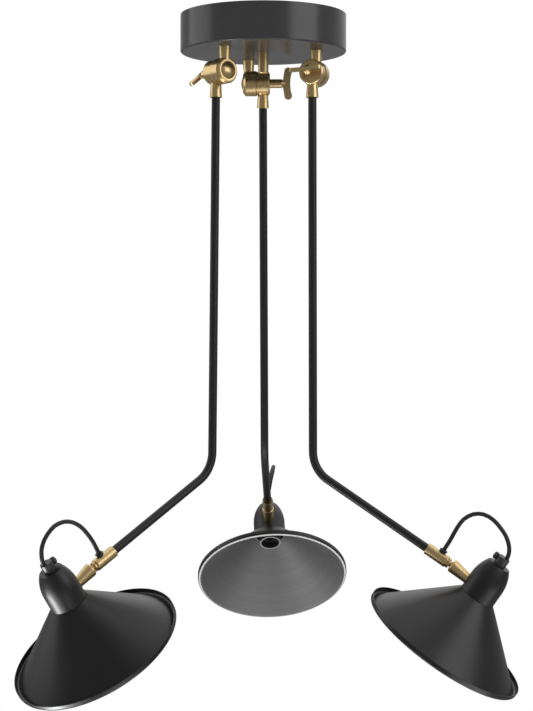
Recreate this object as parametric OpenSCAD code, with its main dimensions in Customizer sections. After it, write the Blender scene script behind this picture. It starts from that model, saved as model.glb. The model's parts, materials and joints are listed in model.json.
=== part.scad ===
// Ceiling lamp: a round canopy carries three hinged arms, and each arm ends in a tilting conical shade.
// The origin is the middle of the canopy where it meets the ceiling. The lamp hangs towards -Z.

/* [Canopy] */
// Outside diameter of the canopy
canopy_d = 200; // [185:1:240]
// Height of the canopy
canopy_h = 45; // [42:1:60]
// Sheet thickness of the canopy
canopy_wall = 1.2; // [0.8:0.1:1.6]
// Outside radius of the canopy's bottom edge
canopy_edge_r = 2; // [1.8:0.1:5]
// Radius of the circle on which the three stems stand
stem_circle_r = 65.5; // [62:0.5:75]
// Direction of the back stem, seen from above
stem_angle = 106; // [90:1:120]

/* [Ceiling fixing] */
// Length of the ceiling bracket
bracket_l = 150; // [145:1:170]
// Width of the ceiling bracket
bracket_w = 22; // [18:1:30]
// Thickness of the ceiling bracket
bracket_t = 2; // [1.5:0.1:3]
// Distance between the two screw slots
slot_spacing = 100; // [96:1:110]
// End to end length of a screw slot
slot_l = 22; // [12:1:26]
// Width of a screw slot
slot_w = 5.5; // [4:0.1:6.5]
// Diameter of the threaded rod in the middle of the bracket
rod_d = 8; // [6:0.5:9]
// Width across the flats of the rod's nut
rod_nut_w = 13; // [12:0.5:16]
// Height of the rod's nut
rod_nut_h = 6; // [4:0.5:8]
// Diameter of the fixing sleeve below the canopy
fixing_d = 12.8; // [12:0.1:18]
// Length of the fixing sleeve below the canopy
fixing_l = 25; // [20:1:32]
// How far the rod screws into the fixing sleeve
fixing_depth = 18; // [10:1:18]
// Length of one pole of the terminal block
pole_pitch = 8; // [7:0.5:9]
// Width of the terminal block
block_w = 17; // [14:0.5:20]
// Height of the terminal block
block_h = 14; // [11:0.5:18]
// Diameter of a wire hole in the terminal block
block_wire_d = 3.4; // [2.5:0.1:4]

/* [Knuckle joint] */
// Distance from the canopy's underside down to the knuckle's axis
stem_l = 28.5; // [26:0.5:40]
// Diameter of the stem under the canopy
stem_top_d = 15; // [13:0.5:17]
// Diameter of the stem at the knuckle
stem_low_d = 12; // [11:0.5:13]
// Diameter of the stem's thread in the canopy
stem_thread_d = 10; // [9:0.5:11]
// Width across the flats of the stem's nut
stem_nut_w = 17; // [15:0.5:19]
// Height of the stem's nut
stem_nut_h = 5; // [3:0.5:8]
// Diameter of the wire way through stem and knuckle
wire_way_d = 6; // [4:0.5:7]
// Diameter of the knuckle half on the stem
stem_half_d = 31; // [30:0.5:34]
// Diameter of the knuckle half on the tube
tube_half_d = 29.2; // [28:0.2:31]
// Thickness of each knuckle half
half_t = 15.7; // [15:0.1:18]
// How far the stem stands off the middle of its half, away from the toothed face
stem_shift = 1.75; // [0:0.05:2]
// Diameter of the wire chamber inside the knuckle
chamber_d = 20.6; // [18:0.2:22]
// Thickness of a knuckle half's closed end
half_wall = 3.1; // [2.5:0.1:4]
// Bevel at the closed end of the stem's half
stem_half_bevel = 2.5; // [1:0.1:2.8]
// Bevel at the closed end of the tube's half
tube_half_bevel = 1; // [0.5:0.1:1.5]
// Number of teeth on each toothed face
teeth = 36; // [24:1:36]
// Depth of a tooth
tooth_depth = 0.85; // [0.5:0.05:1]
// Width of the groove between two teeth
tooth_groove = 1.7; // [1.2:0.1:1.7]
// Diameter of the pivot bolt
bolt_d = 6; // [5:0.5:7]
// Diameter of the pivot bolt's domed head
bolt_head_d = 21; // [16:0.5:21]
// Height of the pivot bolt's domed head
bolt_head_h = 3.2; // [2:0.1:4]
// Width of the raised ring on a knuckle face
face_ring_w = 1.6; // [1:0.1:1.8]
// Height of the raised ring on a knuckle face
face_ring_h = 0.8; // [0.4:0.1:1.2]
// Diameter of the recess around the wing nut
recess_d = 19; // [16:0.5:21]
// Depth of the recess around the wing nut
recess_h = 1.5; // [0.5:0.1:2]

/* [Wing nut] */
// Diameter of the wing nut's shaft
wing_shaft_d = 11; // [9:0.5:12]
// Length of the shaft outside the knuckle
wing_shaft_l = 15.7; // [13:0.1:20]
// Length of the cone between shaft and wings
wing_cone_l = 3; // [1:0.5:4]
// How far the pivot bolt reaches into the shaft
wing_thread_l = 12; // [8:0.5:12]
// Distance between the middles of the two wing lobes
wing_lobe_gap = 30; // [24:1:34]
// Diameter of a wing lobe
wing_lobe_d = 9.6; // [8:0.2:11]
// Thickness of the wings
wing_t = 4; // [3:0.5:5]
// How deep the waist between the lobes dips
wing_waist = 2.2; // [1:0.1:3]

/* [Arm tube] */
// Outside diameter of the arm tube
tube_d = 10; // [9:0.5:11]
// Wall of the arm tube
tube_wall = 1; // [0.8:0.1:1.5]
// Length of the straight stretch from the knuckle's axis down to the bend
upper_l = 451.3; // [300:0.1:600]
// Length of the straight stretch from the bend to the end sleeve
lower_l = 143.3; // [100:0.1:200]
// Angle of the bend
bend_angle = 57; // [30:1:70]
// Radius of the bend's centre line
bend_r = 40; // [30:1:55]
// Distance from the knuckle's axis to the socket's lower end
socket_drop = 30; // [29:0.5:36]
// Depth of the tube in the socket
socket_seat = 13; // [10:0.5:13]
// Wall of the socket at its lower end
socket_low_wall = 2.5; // [1.5:0.1:3]
// Wall of the socket at the knuckle
socket_top_wall = 1.25; // [1:0.05:2]

/* [End sleeve and ball joint] */
// Length of the end sleeve
sleeve_l = 29; // [28:0.5:36]
// Wall of the end sleeve around the tube
sleeve_wall = 2; // [1.8:0.1:2.5]
// Depth of the tube in the end sleeve
sleeve_seat = 12; // [9:0.5:12]
// Thickness of the end sleeve's closed end
sleeve_end = 5; // [4:0.5:6]
// Radius of the end sleeve's rounded shoulder
sleeve_round = 2; // [0.5:0.1:2.5]
// Distance from the sleeve's mouth to the cord bush
bush_pos = 17.5; // [17:0.5:18]
// Diameter of the cord bush's flange
bush_flange_d = 9.8; // [9:0.2:11]
// Thickness of the cord bush's flange
bush_flange_t = 2.2; // [1.5:0.1:3]
// Height of the cord bush's waist above its seat
bush_waist_h = 2; // [1:0.1:3]
// Wall of the cord bush around the lead
bush_wall = 0.7; // [0.5:0.1:0.8]
// Depth of the flat seat cut into the sleeve for the bush
bush_seat = 0.8; // [0.5:0.1:0.9]
// Diameter of the lead
lead_d = 5; // [4:0.1:5.2]
// How far the lead runs straight out of the bush
lead_straight = 6; // [5:0.5:8]
// Diameter of the ball stud's thread
stud_thread_d = 6; // [5:0.5:7]
// Diameter of the ball stud's collar
collar_d = 12; // [10:0.5:12]
// Thickness of the ball stud's collar
collar_l = 2.5; // [1.5:0.1:4]
// Diameter of the ball stud's neck
neck_d = 6; // [5:0.2:6]
// Diameter of the ball
ball_d = 12; // [11.6:0.1:12]
// Distance from the collar to the middle of the ball
ball_gap = 6.5; // [6.5:0.1:9]
// Largest tilt of the ball joint to either side
tilt_limit = 25; // [20:1:25]
// Largest diameter of the ball housing
housing_d = 16.5; // [16:0.1:18]
// Diameter of the ball housing where it meets the cap
housing_end_d = 12.4; // [11:0.1:14]
// Distance from the middle of the ball to the cap's wall
housing_reach = 19.9; // [17:0.1:26]
// Distance from the middle of the ball to the housing's mouth
housing_front = 4; // [3.6:0.1:4]
// Radius of the housing's rounded shoulder
housing_round = 3; // [2:0.1:3]
// Diameter of the housing's threaded end
spigot_d = 6; // [5:0.5:7]
// Width across the flats of the nut on the housing's threaded end
spigot_nut_w = 10; // [9:0.5:11]
// Thickness of the nut on the housing's threaded end
spigot_nut_h = 2.6; // [2:0.1:3]

/* [Lamp head] */
// Outside diameter of the cap
cap_d = 43.2; // [42:0.2:50]
// Diameter of the cap's flat top
cap_top_d = 27.8; // [24:0.2:34]
// Height of the cap
cap_h = 45.5; // [44:0.5:56]
// Height of the cap's straight part above its mouth
cap_straight = 19; // [12:0.5:24]
// Sheet thickness of the cap
cap_wall = 1; // [0.8:0.1:1.2]
// Height of the ball housing's axis above the cap's mouth, at the cap's own axis
attach_h = 8.5; // [7:0.5:10]
// Upward lean of the ball housing on the cap
housing_lean = 4.5; // [0:0.5:8]
// Outside diameter of the shade at its lip
shade_d = 203; // [160:1:260]
// Height of the shade below the cap
shade_h = 72; // [55:1:100]
// Sheet thickness of the shade
shade_t = 1; // [0.8:0.1:1.2]
// Height of the shade's neck inside the cap
shade_neck_h = 18; // [17:0.5:19]
// How far the shade's shoulder stands out under the cap's edge
shade_step = 0.6; // [0:0.1:1]
// Inside radius of the bend that turns the shade's lip up
lip_bend_r = 2.2; // [1.5:0.1:4]
// Height of the lip above the middle of its bend
lip_h = 3.4; // [1:0.1:6]
// Outside diameter of the lamp holder
holder_d = 29; // [27:0.2:29]
// Depth of the lamp holder below the cap's mouth
holder_drop = 15; // [10:0.5:20]
// Inside diameter of the lamp holder's skirt
skirt_d = 24.8; // [20:0.2:25]
// Depth of the lamp holder's skirt
skirt_h = 10; // [5:0.5:14]
// Inside diameter of the threaded lamp shell
shell_d = 14; // [13.9:0.1:14.4]
// Length of the threaded lamp shell
shell_l = 20; // [16:0.5:22]
// Sheet thickness of the lamp shell
shell_t = 0.5; // [0.4:0.1:0.8]
// Diameter of the cord grip's body
grip_d = 15; // [14:0.5:18]
// Height of the cord grip's body
grip_h = 11; // [10:0.5:14]
// Diameter of the cord grip's thread
grip_thread_d = 10; // [9:0.5:11]
// Length of the cord grip's thread
grip_thread_l = 14; // [8:0.5:14]
// Distance of the lead from the middle of the cord grip
grip_lead_off = 3.2; // [3:0.1:4.4]
// Diameter of the cord grip's screw head
grip_screw_d = 9; // [7:0.5:10]
// Length of the cord grip's screw head
grip_screw_l = 4.4; // [2:0.1:6]

/* [Pose] */
// Direction of the left, right and back arm, seen from above
arm_azimuth = [217.4, 342.8, 88.4]; // [0:0.1:359]
// Outward swing of the left, right and back arm at the knuckle
arm_swing = [0.7, 0.1, 9.2]; // [-4:0.1:20]
// Turn of the left, right and back end sleeve on its tube
sleeve_turn = [-4.1, 1.8, -3.9]; // [-10:0.1:10]
// Tilt of the left, right and back lamp head on its ball
head_tilt = [-6.9, -6.5, -21.2]; // [-24:0.1:24]
// Turn of the left, right and back wing nut
wing_turn = [-40, 4, 90]; // [-180:1:180]

/* [Hidden] */
$fn = 72;
// How far a cut runs past the face that it opens
over = 1;
// Clearance of a thread or a seat within one rigid body
seat_gap = 0.05;
// Running clearance of a turning fit, on the radius
run_gap = 0.08;
// Clearance between two faces that turn on each other
face_gap = 0.1;
// Clearance of the lead in its bush and grip, on the radius
lead_gap = 0.1;
// Chamfer at the end of a thread or bolt
end_chamfer = 0.6;
// Smallest sheet that is left beside a cut
min_wall = 1;
// How much the tube's wall thins on each side in its bend
bend_thin = 0.02;
// How far the tube's straight stretches run on into the bend
bend_lap = 0.1;
across_corners = 1 / cos(30);

SIDES = ["left", "right", "back"];
STEM_STEPS = [120, 240, 0];
ARM_PIECES = [
    "stem_half", "stem_nut", "pivot_bolt", "wing_nut", "tube_half", "arm_tube",
    "end_sleeve", "cord_bush", "ball_stud", "lead",
    "ball_housing", "housing_nut", "cap", "cord_grip", "grip_screw", "lamp_holder", "lamp_shell", "shade"
];
BASE_PIECES = ["canopy", "ceiling_bracket", "fixing_rod", "rod_nut", "fixing_sleeve", "terminal_block"];

BRASS = "#b8985a";
BLACK = "#2a2a2b";
GREY = "#4a4a4c";
STEEL = "#b4b6b8";
PLASTIC = "#1c1c1d";
CREAM = "#e8e4d8";

canopy_r = canopy_d / 2;
canopy_floor = -canopy_h + canopy_wall;
rod_r = rod_d / 2;
block_l = 3 * pole_pitch;
block_x = -(rod_nut_w * across_corners / 2 + block_l / 2 + over);

pivot_drop = canopy_h + stem_l;
stem_thread_r = stem_thread_d / 2;
stem_thread_l = canopy_wall + stem_nut_h + 2 * face_gap + 2 * end_chamfer;
stem_half_r = stem_half_d / 2;
tube_half_r = tube_half_d / 2;
chamber_r = chamber_d / 2;
bolt_r = bolt_d / 2;
// Places along the knuckle's axis, from the stem's axis towards the wing nut
part_plane = half_t / 2 + stem_shift;
stem_face = part_plane - half_t;
tube_plane = part_plane + face_gap;
tube_face = tube_plane + half_t;
recess_floor = tube_face - recess_h;
wing_seat = recess_floor + face_gap;
wing_shaft_end = tube_face + wing_shaft_l;
wing_lobe_pos = wing_shaft_end + wing_cone_l + wing_lobe_d / 2;
bolt_end = tube_face + wing_thread_l;
tube_off = tube_plane + half_t / 2;

tube_r = tube_d / 2;
tube_bore_r = tube_r - tube_wall;
socket_low_r = tube_r + socket_low_wall;
socket_top_r = tube_r + socket_top_wall;

sleeve_r = tube_r + sleeve_wall;
bush_hole_r = lead_d / 2 + lead_gap + bush_wall;
bush_floor = sleeve_r - bush_seat;
bush_top = bush_floor + bush_waist_h + bush_flange_t;
ball_r = ball_d / 2;
ball_pos = sleeve_l + collar_l + ball_gap;
socket_r = ball_r + run_gap;
housing_r = housing_d / 2;
spigot_r = spigot_d / 2;

cap_r = cap_d / 2;
cap_top_r = cap_top_d / 2;
cap_curve = cap_h - cap_straight;
cap_curve_r = (pow(cap_r - cap_top_r, 2) + pow(cap_curve, 2)) / (2 * (cap_r - cap_top_r));
ball_to_axis = housing_reach + cap_r;
shade_neck_r = cap_r - cap_wall - seat_gap;
spigot_nut_r = spigot_nut_w * across_corners / 2;
neck_bore_r = shade_neck_r - shade_t;
nut_seat = sqrt(pow(neck_bore_r, 2) - pow(spigot_nut_r, 2)) - spigot_nut_r * sin(housing_lean) - seat_gap;
// The lip's bend, and the cone that runs into it
bend_out_r = lip_bend_r + shade_t;
lip_x = shade_d / 2 - bend_out_r;
lip_z = -shade_h + bend_out_r;
cone_top_r = cap_r + shade_step;
cone_run = [lip_x - cone_top_r, -lip_z];
cone_angle = atan2(cone_run.x, cone_run.y) - asin(lip_bend_r / norm(cone_run));
cone_dir = [sin(cone_angle), -cos(cone_angle)];
cone_out = [cos(cone_angle), sin(cone_angle)];

holder_r = holder_d / 2;
holder_top = cap_h - cap_wall - seat_gap;
grip_thread_r = grip_thread_d / 2;
boss_r = grip_thread_r + 2 * min_wall + min_wall;
shell_out_r = shell_d / 2 + shell_t;
shell_mouth = skirt_h - holder_drop;
shell_floor = shell_mouth + shell_l;
grip_screw_z = cap_h + grip_h - grip_screw_d / 2 + end_chamfer;
grip_depth = grip_h / 2;

// Frames of the moving groups

module on_stem(i) {
    heading = stem_angle + STEM_STEPS[i];
    translate([stem_circle_r * cos(heading), stem_circle_r * sin(heading), 0])
        rotate([0, 0, arm_azimuth[i]])
            children();
}

module on_barrel(i) {
    on_stem(i)
        translate([0, 0, -pivot_drop])
            rotate([90, 0, 0])
                children();
}

module on_arm(i) {
    on_stem(i)
        translate([0, 0, -pivot_drop])
            rotate([0, -arm_swing[i], 0])
                children();
}

module on_tube(i) {
    on_arm(i)
        translate([0, -tube_off, 0])
            children();
}

// From the tube's upper stretch round its bend to the start of the lower one
module past_bend() {
    translate([bend_r, 0, -upper_l])
        rotate([0, -bend_angle, 0])
            translate([-bend_r, 0, 0])
                children();
}

module on_sleeve(i) {
    on_tube(i)
        past_bend()
            translate([0, 0, -lower_l])
                rotate([0, 180, 0])
                    rotate([0, 0, sleeve_turn[i]])
                        children();
}

module on_head(i) {
    on_sleeve(i)
        translate([0, 0, ball_pos])
            rotate([0, -head_tilt[i], 0])
                children();
}

// From the ball to the cap's axis, with the cap's mouth at zero height
module on_cap_axis() {
    translate([0, 0, ball_to_axis])
        rotate([0, -90 - housing_lean, 0])
            translate([0, 0, -attach_h])
                children();
}

module on_shade(i) {
    on_head(i)
        on_cap_axis()
            children();
}

// Shapes that repeat

module hex_nut(width, height, bore_r) {
    difference() {
        cylinder(h = height, d = width * across_corners, $fn = 6);
        translate([0, 0, -over])
            cylinder(h = height + 2 * over, r = bore_r);
    }
}

module chamfered_rod(r, bottom, top) {
    rotate_extrude()
        polygon([
            [0, bottom], [r - end_chamfer, bottom], [r, bottom + end_chamfer],
            [r, top - end_chamfer], [r - end_chamfer, top], [0, top]
        ]);
}

module cup_section(r, bottom, top, edge) {
    translate([0, bottom + edge])
        square([r, top - bottom - edge]);
    translate([0, bottom])
        square([r - edge, top - bottom]);
    translate([r - edge, bottom + edge])
        circle(r = edge);
}

// A ring of V-shaped grooves that leaves radial teeth on the face at the given height
module tooth_grooves(r, height, side) {
    flank = tooth_groove / 2 * (tooth_depth + over) / tooth_depth;
    for (k = [0 : teeth - 1])
        rotate([0, 0, k * 360 / teeth])
            translate([chamber_r - over, 0, height])
                rotate([90, 0, 90])
                    linear_extrude(height = r - chamber_r + 2 * over)
                        polygon([[-flank, side * over], [flank, side * over], [0, -side * tooth_depth]]);
}

// Canopy and its ceiling fixing

module canopy() {
    color(GREY)
        difference() {
            rotate_extrude($fn = 180)
                difference() {
                    cup_section(canopy_r, -canopy_h, 0, canopy_edge_r);
                    cup_section(canopy_r - canopy_wall, canopy_floor, over, canopy_edge_r - canopy_wall);
                }
            translate([0, 0, -canopy_h - over])
                cylinder(h = canopy_wall + 2 * over, r = rod_r + 2 * run_gap);
            for (i = [0 : len(SIDES) - 1])
                on_stem(i)
                    translate([0, 0, -canopy_h - over])
                        cylinder(h = canopy_wall + 2 * over, r = stem_thread_r + run_gap);
        }
}

module slot_section(length, width) {
    square([length - width, width], center = true);
    for (end = [-1, 1])
        translate([end * (length - width) / 2, 0])
            circle(d = width);
}

module ceiling_bracket() {
    color(STEEL)
        translate([0, 0, -bracket_t])
            linear_extrude(height = bracket_t)
                difference() {
                    slot_section(bracket_l, bracket_w);
                    for (end = [-1, 1])
                        translate([end * slot_spacing / 2, 0])
                            slot_section(slot_l, slot_w);
                    circle(r = rod_r + seat_gap);
                }
}

module fixing_rod() {
    color(STEEL)
        chamfered_rod(rod_r, -canopy_h - fixing_depth, -face_gap);
}

module rod_nut() {
    color(STEEL)
        translate([0, 0, -bracket_t - rod_nut_h])
            hex_nut(rod_nut_w, rod_nut_h, rod_r + seat_gap);
}

module fixing_sleeve() {
    fixing_r = fixing_d / 2;
    color(BRASS)
        difference() {
            rotate_extrude()
                polygon([
                    [0, -canopy_h - fixing_l], [fixing_r - end_chamfer, -canopy_h - fixing_l],
                    [fixing_r, -canopy_h - fixing_l + end_chamfer], [fixing_r, -canopy_h], [0, -canopy_h]
                ]);
            translate([0, 0, -canopy_h - fixing_depth - over])
                cylinder(h = fixing_depth + 2 * over, r = rod_r + seat_gap);
        }
}

// Three poles side by side, each with a wire hole along Y and two screw wells from below
module terminal_block() {
    tower_d = pole_pitch - min_wall;
    foot_h = block_h / 2;
    screw_d = tower_d - 2 * min_wall;
    color(CREAM)
        translate([block_x, 0, -bracket_t - block_h])
            difference() {
                union() {
                    translate([-block_l / 2, -block_w / 2, block_h - foot_h])
                        cube([block_l, block_w, foot_h]);
                    for (pole = [-1 : 1])
                        for (end = [-1, 1])
                            translate([pole * pole_pitch, end * block_w / 4, 0])
                                cylinder(h = block_h - foot_h + over, d = tower_d);
                }
                for (pole = [-1 : 1]) {
                    translate([pole * pole_pitch, block_w / 2 + over, block_h - foot_h / 2])
                        rotate([90, 0, 0])
                            cylinder(h = block_w + 2 * over, d = block_wire_d);
                    for (end = [-1, 1])
                        translate([pole * pole_pitch, end * block_w / 4, -over])
                            cylinder(h = foot_h / 2 + over, d = screw_d);
                }
            }
}

// Knuckle joint

module stem_half(i) {
    ring_r = bolt_head_d / 2 + face_gap;
    ring_out_r = ring_r + face_ring_w;
    cone_drop = pivot_drop - chamber_r - min_wall;
    color(BRASS)
        difference() {
            union() {
                on_barrel(i)
                    rotate_extrude()
                        polygon([
                            [0, stem_face], [ring_r, stem_face], [ring_r, stem_face - face_ring_h],
                            [ring_out_r, stem_face - face_ring_h], [ring_out_r, stem_face],
                            [stem_half_r - stem_half_bevel, stem_face],
                            [stem_half_r, stem_face + stem_half_bevel],
                            [stem_half_r, part_plane], [0, part_plane]
                        ]);
                on_stem(i) {
                    translate([0, 0, -cone_drop])
                        cylinder(h = cone_drop - canopy_h - face_gap, d1 = stem_low_d, d2 = stem_top_d);
                    translate([0, 0, -canopy_h - min_wall])
                        chamfered_rod(stem_thread_r, 0, min_wall + stem_thread_l);
                }
            }
            on_barrel(i) {
                translate([0, 0, stem_face + half_wall])
                    cylinder(h = half_t, r = chamber_r);
                translate([0, 0, stem_face - over])
                    cylinder(h = half_t, r = bolt_r + seat_gap);
                tooth_grooves(stem_half_r, part_plane, 1);
            }
            on_stem(i)
                translate([0, 0, -pivot_drop])
                    cylinder(h = pivot_drop, d = wire_way_d);
        }
}

module stem_nut(i) {
    color(STEEL)
        on_stem(i)
            translate([0, 0, canopy_floor + face_gap])
                hex_nut(stem_nut_w, stem_nut_h, stem_thread_r + seat_gap);
}

module pivot_bolt(i) {
    dome_r = (pow(bolt_head_d / 2, 2) + pow(bolt_head_h, 2)) / (2 * bolt_head_h);
    color(BRASS)
        on_barrel(i) {
            rotate_extrude()
                intersection() {
                    translate([0, stem_face - bolt_head_h + dome_r])
                        circle(r = dome_r, $fn = 180);
                    translate([0, stem_face - bolt_head_h - over])
                        square([bolt_head_d / 2, bolt_head_h + over]);
                }
            translate([0, 0, stem_face - end_chamfer])
                chamfered_rod(bolt_r, 0, bolt_end - stem_face + end_chamfer);
        }
}

module tube_half(i) {
    ring_r = recess_d / 2;
    ring_out_r = ring_r + 2 * face_ring_w;
    color(BRASS)
        difference() {
            on_arm(i) {
                rotate([90, 0, 0])
                    rotate_extrude()
                        polygon([
                            [0, tube_plane], [tube_half_r, tube_plane],
                            [tube_half_r, tube_face - tube_half_bevel],
                            [tube_half_r - tube_half_bevel, tube_face], [ring_out_r, tube_face],
                            [ring_out_r, tube_face + face_ring_h], [ring_r, tube_face + face_ring_h],
                            [ring_r, recess_floor], [0, recess_floor]
                        ]);
                translate([0, -tube_off, -socket_drop])
                    cylinder(h = socket_drop - chamber_r - min_wall, r1 = socket_low_r, r2 = socket_top_r);
            }
            on_arm(i) {
                rotate([90, 0, 0]) {
                    translate([0, 0, tube_plane - over])
                        cylinder(h = recess_floor - half_wall - tube_plane + over, r = chamber_r);
                    translate([0, 0, tube_plane])
                        cylinder(h = half_t + over, r = bolt_r + run_gap);
                    tooth_grooves(tube_half_r, tube_plane, -1);
                }
                translate([0, -tube_off, -socket_drop - over])
                    cylinder(h = socket_seat + over, r = tube_r + seat_gap);
                translate([0, -tube_off, -socket_drop])
                    cylinder(h = socket_drop, d = wire_way_d);
            }
        }
}

// Wings in the plane of the bolt: two round lobes on a bar whose outer edge dips in the middle
module wing_section() {
    lobe_r = wing_lobe_d / 2;
    half_gap = wing_lobe_gap / 2;
    waist_r = (pow(half_gap, 2) + pow(wing_waist, 2)) / (2 * wing_waist);
    difference() {
        union() {
            for (end = [-1, 1])
                translate([end * half_gap, wing_lobe_pos])
                    circle(r = lobe_r);
            polygon([
                [-half_gap, wing_lobe_pos + lobe_r], [-half_gap, wing_lobe_pos - lobe_r],
                [-wing_shaft_d / 2, wing_shaft_end + wing_cone_l / 2],
                [wing_shaft_d / 2, wing_shaft_end + wing_cone_l / 2],
                [half_gap, wing_lobe_pos - lobe_r], [half_gap, wing_lobe_pos + lobe_r]
            ]);
        }
        translate([0, wing_lobe_pos + lobe_r - wing_waist + waist_r])
            circle(r = waist_r, $fn = 180);
    }
}

module wing_nut(i) {
    color(BRASS)
        on_barrel(i)
            rotate([0, 0, wing_turn[i]])
                difference() {
                    union() {
                        translate([0, 0, wing_seat])
                            cylinder(h = wing_shaft_end - wing_seat, d = wing_shaft_d);
                        translate([0, 0, wing_shaft_end])
                            cylinder(h = wing_cone_l + over, d1 = wing_shaft_d, d2 = wing_t);
                        rotate([90, 0, 0])
                            translate([0, 0, -wing_t / 2])
                                linear_extrude(height = wing_t)
                                    wing_section();
                    }
                    translate([0, 0, wing_seat - over])
                        cylinder(h = bolt_end - wing_seat + 2 * over, r = bolt_r + run_gap);
                }
}

// Arm tube with its bend

module tube_ring(thin) {
    difference() {
        circle(r = tube_r - thin);
        circle(r = tube_bore_r + thin);
    }
}

module arm_tube(i) {
    color(BLACK)
        on_tube(i) {
            translate([0, 0, -upper_l - bend_lap])
                linear_extrude(height = upper_l + bend_lap - socket_drop + socket_seat)
                    tube_ring(0);
            translate([bend_r, 0, -upper_l])
                rotate([90, 0, 0])
                    rotate([0, 0, 180])
                        rotate_extrude(angle = bend_angle)
                            translate([bend_r, 0])
                                tube_ring(bend_thin);
            past_bend()
                translate([0, 0, -lower_l - sleeve_seat])
                    linear_extrude(height = lower_l + sleeve_seat + bend_lap)
                        tube_ring(0);
        }
}

// End sleeve, cord bush and ball stud

module end_sleeve(i) {
    color(BRASS)
        on_sleeve(i)
            difference() {
                rotate_extrude()
                    difference() {
                        union() {
                            square([sleeve_r, sleeve_l - sleeve_round]);
                            square([sleeve_r - sleeve_round, sleeve_l]);
                            translate([sleeve_r - sleeve_round, sleeve_l - sleeve_round])
                                circle(r = sleeve_round);
                        }
                        translate([0, -over])
                            square([tube_r + run_gap, sleeve_seat + face_gap + over]);
                        square([tube_bore_r, sleeve_l - sleeve_end]);
                        square([stud_thread_d / 2 + seat_gap, sleeve_l + over]);
                    }
                translate([0, 0, bush_pos])
                    rotate([0, -90, 0]) {
                        cylinder(h = sleeve_r + over, r = bush_hole_r + seat_gap);
                        translate([0, 0, bush_floor])
                            cylinder(h = sleeve_r, d = bush_flange_d + 2 * seat_gap);
                    }
            }
}

module cord_bush(i) {
    flange_r = bush_flange_d / 2;
    waist_top = bush_floor + bush_waist_h;
    edge_r = bush_flange_t / 2;
    color(PLASTIC)
        on_sleeve(i)
            translate([0, 0, bush_pos])
                rotate([0, -90, 0])
                    rotate_extrude()
                        difference() {
                            union() {
                                translate([0, tube_r])
                                    square([bush_hole_r, bush_top - tube_r]);
                                translate([0, bush_floor])
                                    square([bush_hole_r + bush_wall, bush_waist_h]);
                                translate([0, waist_top])
                                    square([flange_r - edge_r, bush_flange_t]);
                                translate([flange_r - edge_r, waist_top + edge_r])
                                    circle(r = edge_r);
                            }
                            square([lead_d / 2 + lead_gap, bush_top + over]);
                        }
}

module ball_stud(i) {
    color(BRASS)
        on_sleeve(i) {
            translate([0, 0, sleeve_l - sleeve_end])
                chamfered_rod(stud_thread_d / 2, 0, sleeve_end + end_chamfer);
            translate([0, 0, sleeve_l])
                rotate_extrude()
                    polygon([
                        [0, 0], [collar_d / 2 - end_chamfer, 0], [collar_d / 2, end_chamfer],
                        [collar_d / 2, collar_l - end_chamfer], [collar_d / 2 - end_chamfer, collar_l],
                        [0, collar_l]
                    ]);
            translate([0, 0, sleeve_l + collar_l - end_chamfer])
                cylinder(h = ball_gap, d = neck_d);
            translate([0, 0, ball_pos])
                sphere(r = ball_r);
        }
}

// Lamp head: ball housing, cap, cord grip, lamp holder and shade

module cap_section(inset) {
    r = cap_r - inset;
    curve_r = cap_curve_r - inset;
    bottom = inset > 0 ? -over : 0;
    translate([0, bottom])
        square([r, cap_straight - bottom]);
    intersection() {
        translate([r - curve_r, cap_straight])
            circle(r = curve_r, $fn = 180);
        translate([0, cap_straight - over])
            square([r, cap_curve + over - inset]);
    }
}

module ball_housing(i) {
    mouth_r = neck_d / 2 / cos(tilt_limit) + run_gap;
    mouth_z = -housing_front - over;
    mouth_end_r = mouth_r - mouth_z * tan(tilt_limit);
    end_r = housing_end_d / 2;
    end_z = housing_reach + cap_r / 4;
    color(BRASS)
        on_head(i) {
            difference() {
                rotate_extrude()
                    difference() {
                        union() {
                            polygon([
                                [0, -housing_front], [housing_r - housing_round, -housing_front],
                                [housing_r, -housing_front + housing_round],
                                [end_r, housing_reach], [end_r, end_z], [0, end_z]
                            ]);
                            translate([housing_r - housing_round, -housing_front + housing_round])
                                circle(r = housing_round);
                        }
                        intersection() {
                            circle(r = socket_r);
                            translate([0, -socket_r])
                                square([socket_r, 2 * socket_r]);
                        }
                        polygon([[0, 0], [mouth_r, 0], [mouth_end_r, mouth_z], [0, mouth_z]]);
                    }
                on_cap_axis()
                    rotate_extrude()
                        cap_section(0);
            }
            translate([0, 0, socket_r + min_wall])
                cylinder(h = ball_to_axis - nut_seat + spigot_nut_h - socket_r - min_wall, r = spigot_r);
        }
}

module housing_nut(i) {
    color(STEEL)
        on_head(i)
            translate([0, 0, ball_to_axis - nut_seat])
                hex_nut(spigot_nut_w, spigot_nut_h, spigot_r + seat_gap);
}

module spigot_hole() {
    translate([0, 0, attach_h])
        rotate([0, 90 + housing_lean, 0])
            translate([0, 0, -ball_to_axis])
                cylinder(h = ball_to_axis, r = spigot_r + seat_gap);
}

module cap(i) {
    color(BLACK)
        on_shade(i)
            difference() {
                rotate_extrude()
                    difference() {
                        cap_section(0);
                        cap_section(cap_wall);
                    }
                spigot_hole();
                translate([0, 0, cap_h - cap_wall - over])
                    cylinder(h = cap_wall + 2 * over, r = grip_thread_r + seat_gap);
            }
}

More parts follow.
